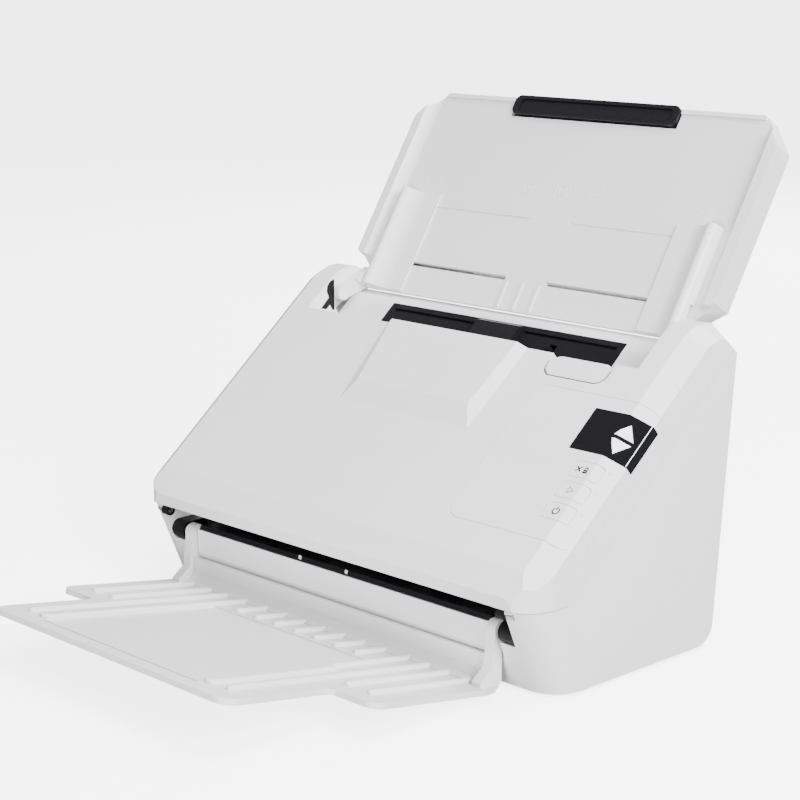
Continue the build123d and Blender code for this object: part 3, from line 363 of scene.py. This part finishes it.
def lever_gap_painted_shadow(black):
    """Painted shadow: a dark strip drawn in front of the release lever, standing in for the shade in the
    gap there.
    """
    shape = bmesh.new()
    corners = arc(75, 119.2, 6.3, 180, 270, 8) + arc(104, 119.2, 6.3, 270, 360, 8)
    run = [(68.7, 122.0), *corners, (110.3, 122.0)]
    # painted shadow strip, not a real gap
    stroke(shape, PANEL, run, 0.5, 0.02, 0.005)
    add_piece("lever_gap_painted_shadow", finish_mesh("lever_gap_painted_shadow", shape), "cover", black)


def keyhole_shade(black):
    """Painted shadow: a flat black patch beside the left tray pin, on the inner wall of the shoulder,
    standing in for the shade in the keyhole.
    """
    out = Vector((1, 0, 0))
    place = Matrix.Translation(ORIGIN + Vector((-125, 0, 0)) * MM)
    turn = Matrix((Vector((0, 1, 0)), Vector((0, 0, 1)), out)).transposed().to_4x4()
    wall = place @ turn @ Matrix.Scale(MM, 4)
    shape = bmesh.new()
    outline = [(96.4, 143.6), (102.6, 149.6), (101.0, 153.0), (101.4, 156.4)]
    outline += [(103.6, 159.0), (107.0, 160.0)]
    outline += [(107.0, 141.2), (105.4, 141.6), (103.4, 145.0), (100.6, 142.6)]
    # painted shadow patch laid flat on the wall
    plate(shape, wall, outline, 0.08)
    add_piece("keyhole_painted_shadow", finish_mesh("keyhole_painted_shadow", shape), "cover", black)


def sill_tabs(white):
    """Two small pale tabs on the black sill of the exit slot."""
    front = Matrix.Translation(ORIGIN + Vector((0, -6.6, 0)) * MM)
    turn = Matrix((Vector((1, 0, 0)), Vector((0, 0, 1)), Vector((0, -1, 0)))).transposed().to_4x4()
    face = front @ turn @ Matrix.Scale(MM, 4)
    shape = bmesh.new()
    for x in (-27.8, 8.7):
        plate(shape, face, [(x - 0.9, 33.0), (x + 0.9, 33.0), (x + 0.9, 35.4), (x - 0.9, 35.4)], 0.6)
    add_piece("sill_tabs", finish_mesh("sill_tabs", shape), "base", white)


def sheet_outline(x, y, wide, tall):
    left, right = x - wide / 2, x + wide / 2
    low, high = y - tall / 2, y + tall / 2
    return [(left, low), (right, low), (right, high), (left, high)]


def tray_symbols(material):
    """Three raised pictures in the middle of the tray, and short width marks above the guides."""
    shape = bmesh.new()
    width, height, lift = 0.35, 0.18, -0.02
    for x in (-25, 25):
        stroke(shape, TRAY, circle(x, 76, 4.2), width, height, lift, True)
        stroke(shape, TRAY, [(x - 2.9, 73.1), (x + 2.9, 78.9)], width, height, lift)
        stroke(shape, TRAY, sheet_outline(x, 76, 2.6, 3.4), width, height, lift, True)
    for x in (-4.6, 4.6):
        stroke(shape, TRAY, [(x, 71.8), (x, 80.2)], width, height, lift)
    stroke(shape, TRAY, sheet_outline(0, 76, 4.2, 5.2), width, height, lift, True)
    stroke(shape, TRAY, [(-1.2, 74.6), (1.2, 74.6)], width, height, lift)
    for side in (-1, 1):
        for k, size in ((0, 3.2), (1, 1.8), (2, 3.2)):
            x = side * (106 - 5.5 * k)
            stroke(shape, TRAY, [(x, 72.0), (x, 72.0 + size)], width, height, lift)
    add_piece("tray_marks", finish_mesh("tray_marks", shape), "input_tray", material)


def make_details(materials):
    key_symbols(materials["socket_black"])
    tray_symbols(materials["white_tray"])
    # painted highlight line along the display's fold
    display_fold_highlight(materials["lit_white"])
    # painted shadow strip in front of the lever
    lever_gap_painted_shadow(materials["socket_black"])
    # painted shadow patch in the keyhole
    keyhole_shade(materials["socket_black"])
    sill_tabs(materials["white_nylon"])


# ================================ stage ================================


def make_stage():
    mesh = bpy.data.meshes.new("floor")
    shape = bmesh.new()
    bmesh.ops.create_grid(shape, x_segments=2, y_segments=2, size=45)
    shape.to_mesh(mesh)
    shape.free()
    floor = bpy.data.objects.new("floor", mesh)
    bpy.context.scene.collection.objects.link(floor)
    material, tree, shader, coords = start_material("floor_paper")
    tone = shade(tree, noise(tree, coords, 3.0), (0.95, 0.95, 0.95), (0.97, 0.97, 0.97))
    tree.links.new(tone, shader.inputs["Base Color"])
    tree.links.new(tone, shader.inputs["Emission Color"])
    shader.inputs["Emission Strength"].default_value = 4.0
    shader.inputs["Roughness"].default_value = 0.9
    mesh.materials.append(material)
    floor.visible_diffuse = False
    floor.visible_glossy = False
    return floor


def area_light(name, place, target, size, power):
    data = bpy.data.lights.new(name, "AREA")
    data.shape = "RECTANGLE"
    data.size, data.size_y = size
    data.energy = power
    lamp = bpy.data.objects.new(name, data)
    lamp.location = place
    lamp.rotation_euler = (Vector(target) - Vector(place)).to_track_quat("-Z", "Y").to_euler()
    bpy.context.scene.collection.objects.link(lamp)
    return lamp


def make_lights():
    world = bpy.data.worlds.new("studio")
    world.use_nodes = True
    sky = world.node_tree.nodes["Background"]
    sky.inputs["Color"].default_value = (1.0, 1.0, 1.0, 1)
    sky.inputs["Strength"].default_value = 0.5
    bpy.context.scene.world = world
    centre = (0, 0, 0.12)
    area_light("key", (1.6, -0.3, 0.95), centre, (1.0, 1.0), 84)
    area_light("top", (0.3, 0.5, 1.8), centre, (1.0, 1.0), 40)
    area_light("rear", (-0.6, 1.6, 0.9), centre, (1.2, 1.0), 26)
    area_light("front", (0.4, -1.5, 0.10), (0, 0, 0.04), (0.8, 0.2), 26)


def make_camera():
    """Looks at the front right corner from a little above."""
    data = bpy.data.cameras.new("camera")
    data.sensor_width = 36
    data.lens = 93.93
    data.clip_start, data.clip_end = 0.05, 50
    camera = bpy.data.objects.new("camera", data)
    azimuth, rise, roll = radians(46.308), radians(12.638), radians(-0.343)
    back = Vector((sin(azimuth) * cos(rise), -cos(azimuth) * cos(rise), sin(rise)))
    right = Vector((0, 0, 1)).cross(back).normalized()
    up = back.cross(right)
    tilted = cos(roll) * right + sin(roll) * up
    basis = Matrix((tilted, back.cross(tilted), back)).transposed().to_4x4()
    place = ORIGIN + Vector((781.07, -705.48, 359.35)) * MM
    camera.matrix_world = Matrix.Translation(place) @ basis
    bpy.context.scene.collection.objects.link(camera)
    bpy.context.scene.camera = camera


# ================================ scene ================================

materials = make_materials()
dress(materials)
make_details(materials)
make_stage()
make_lights()
make_camera()
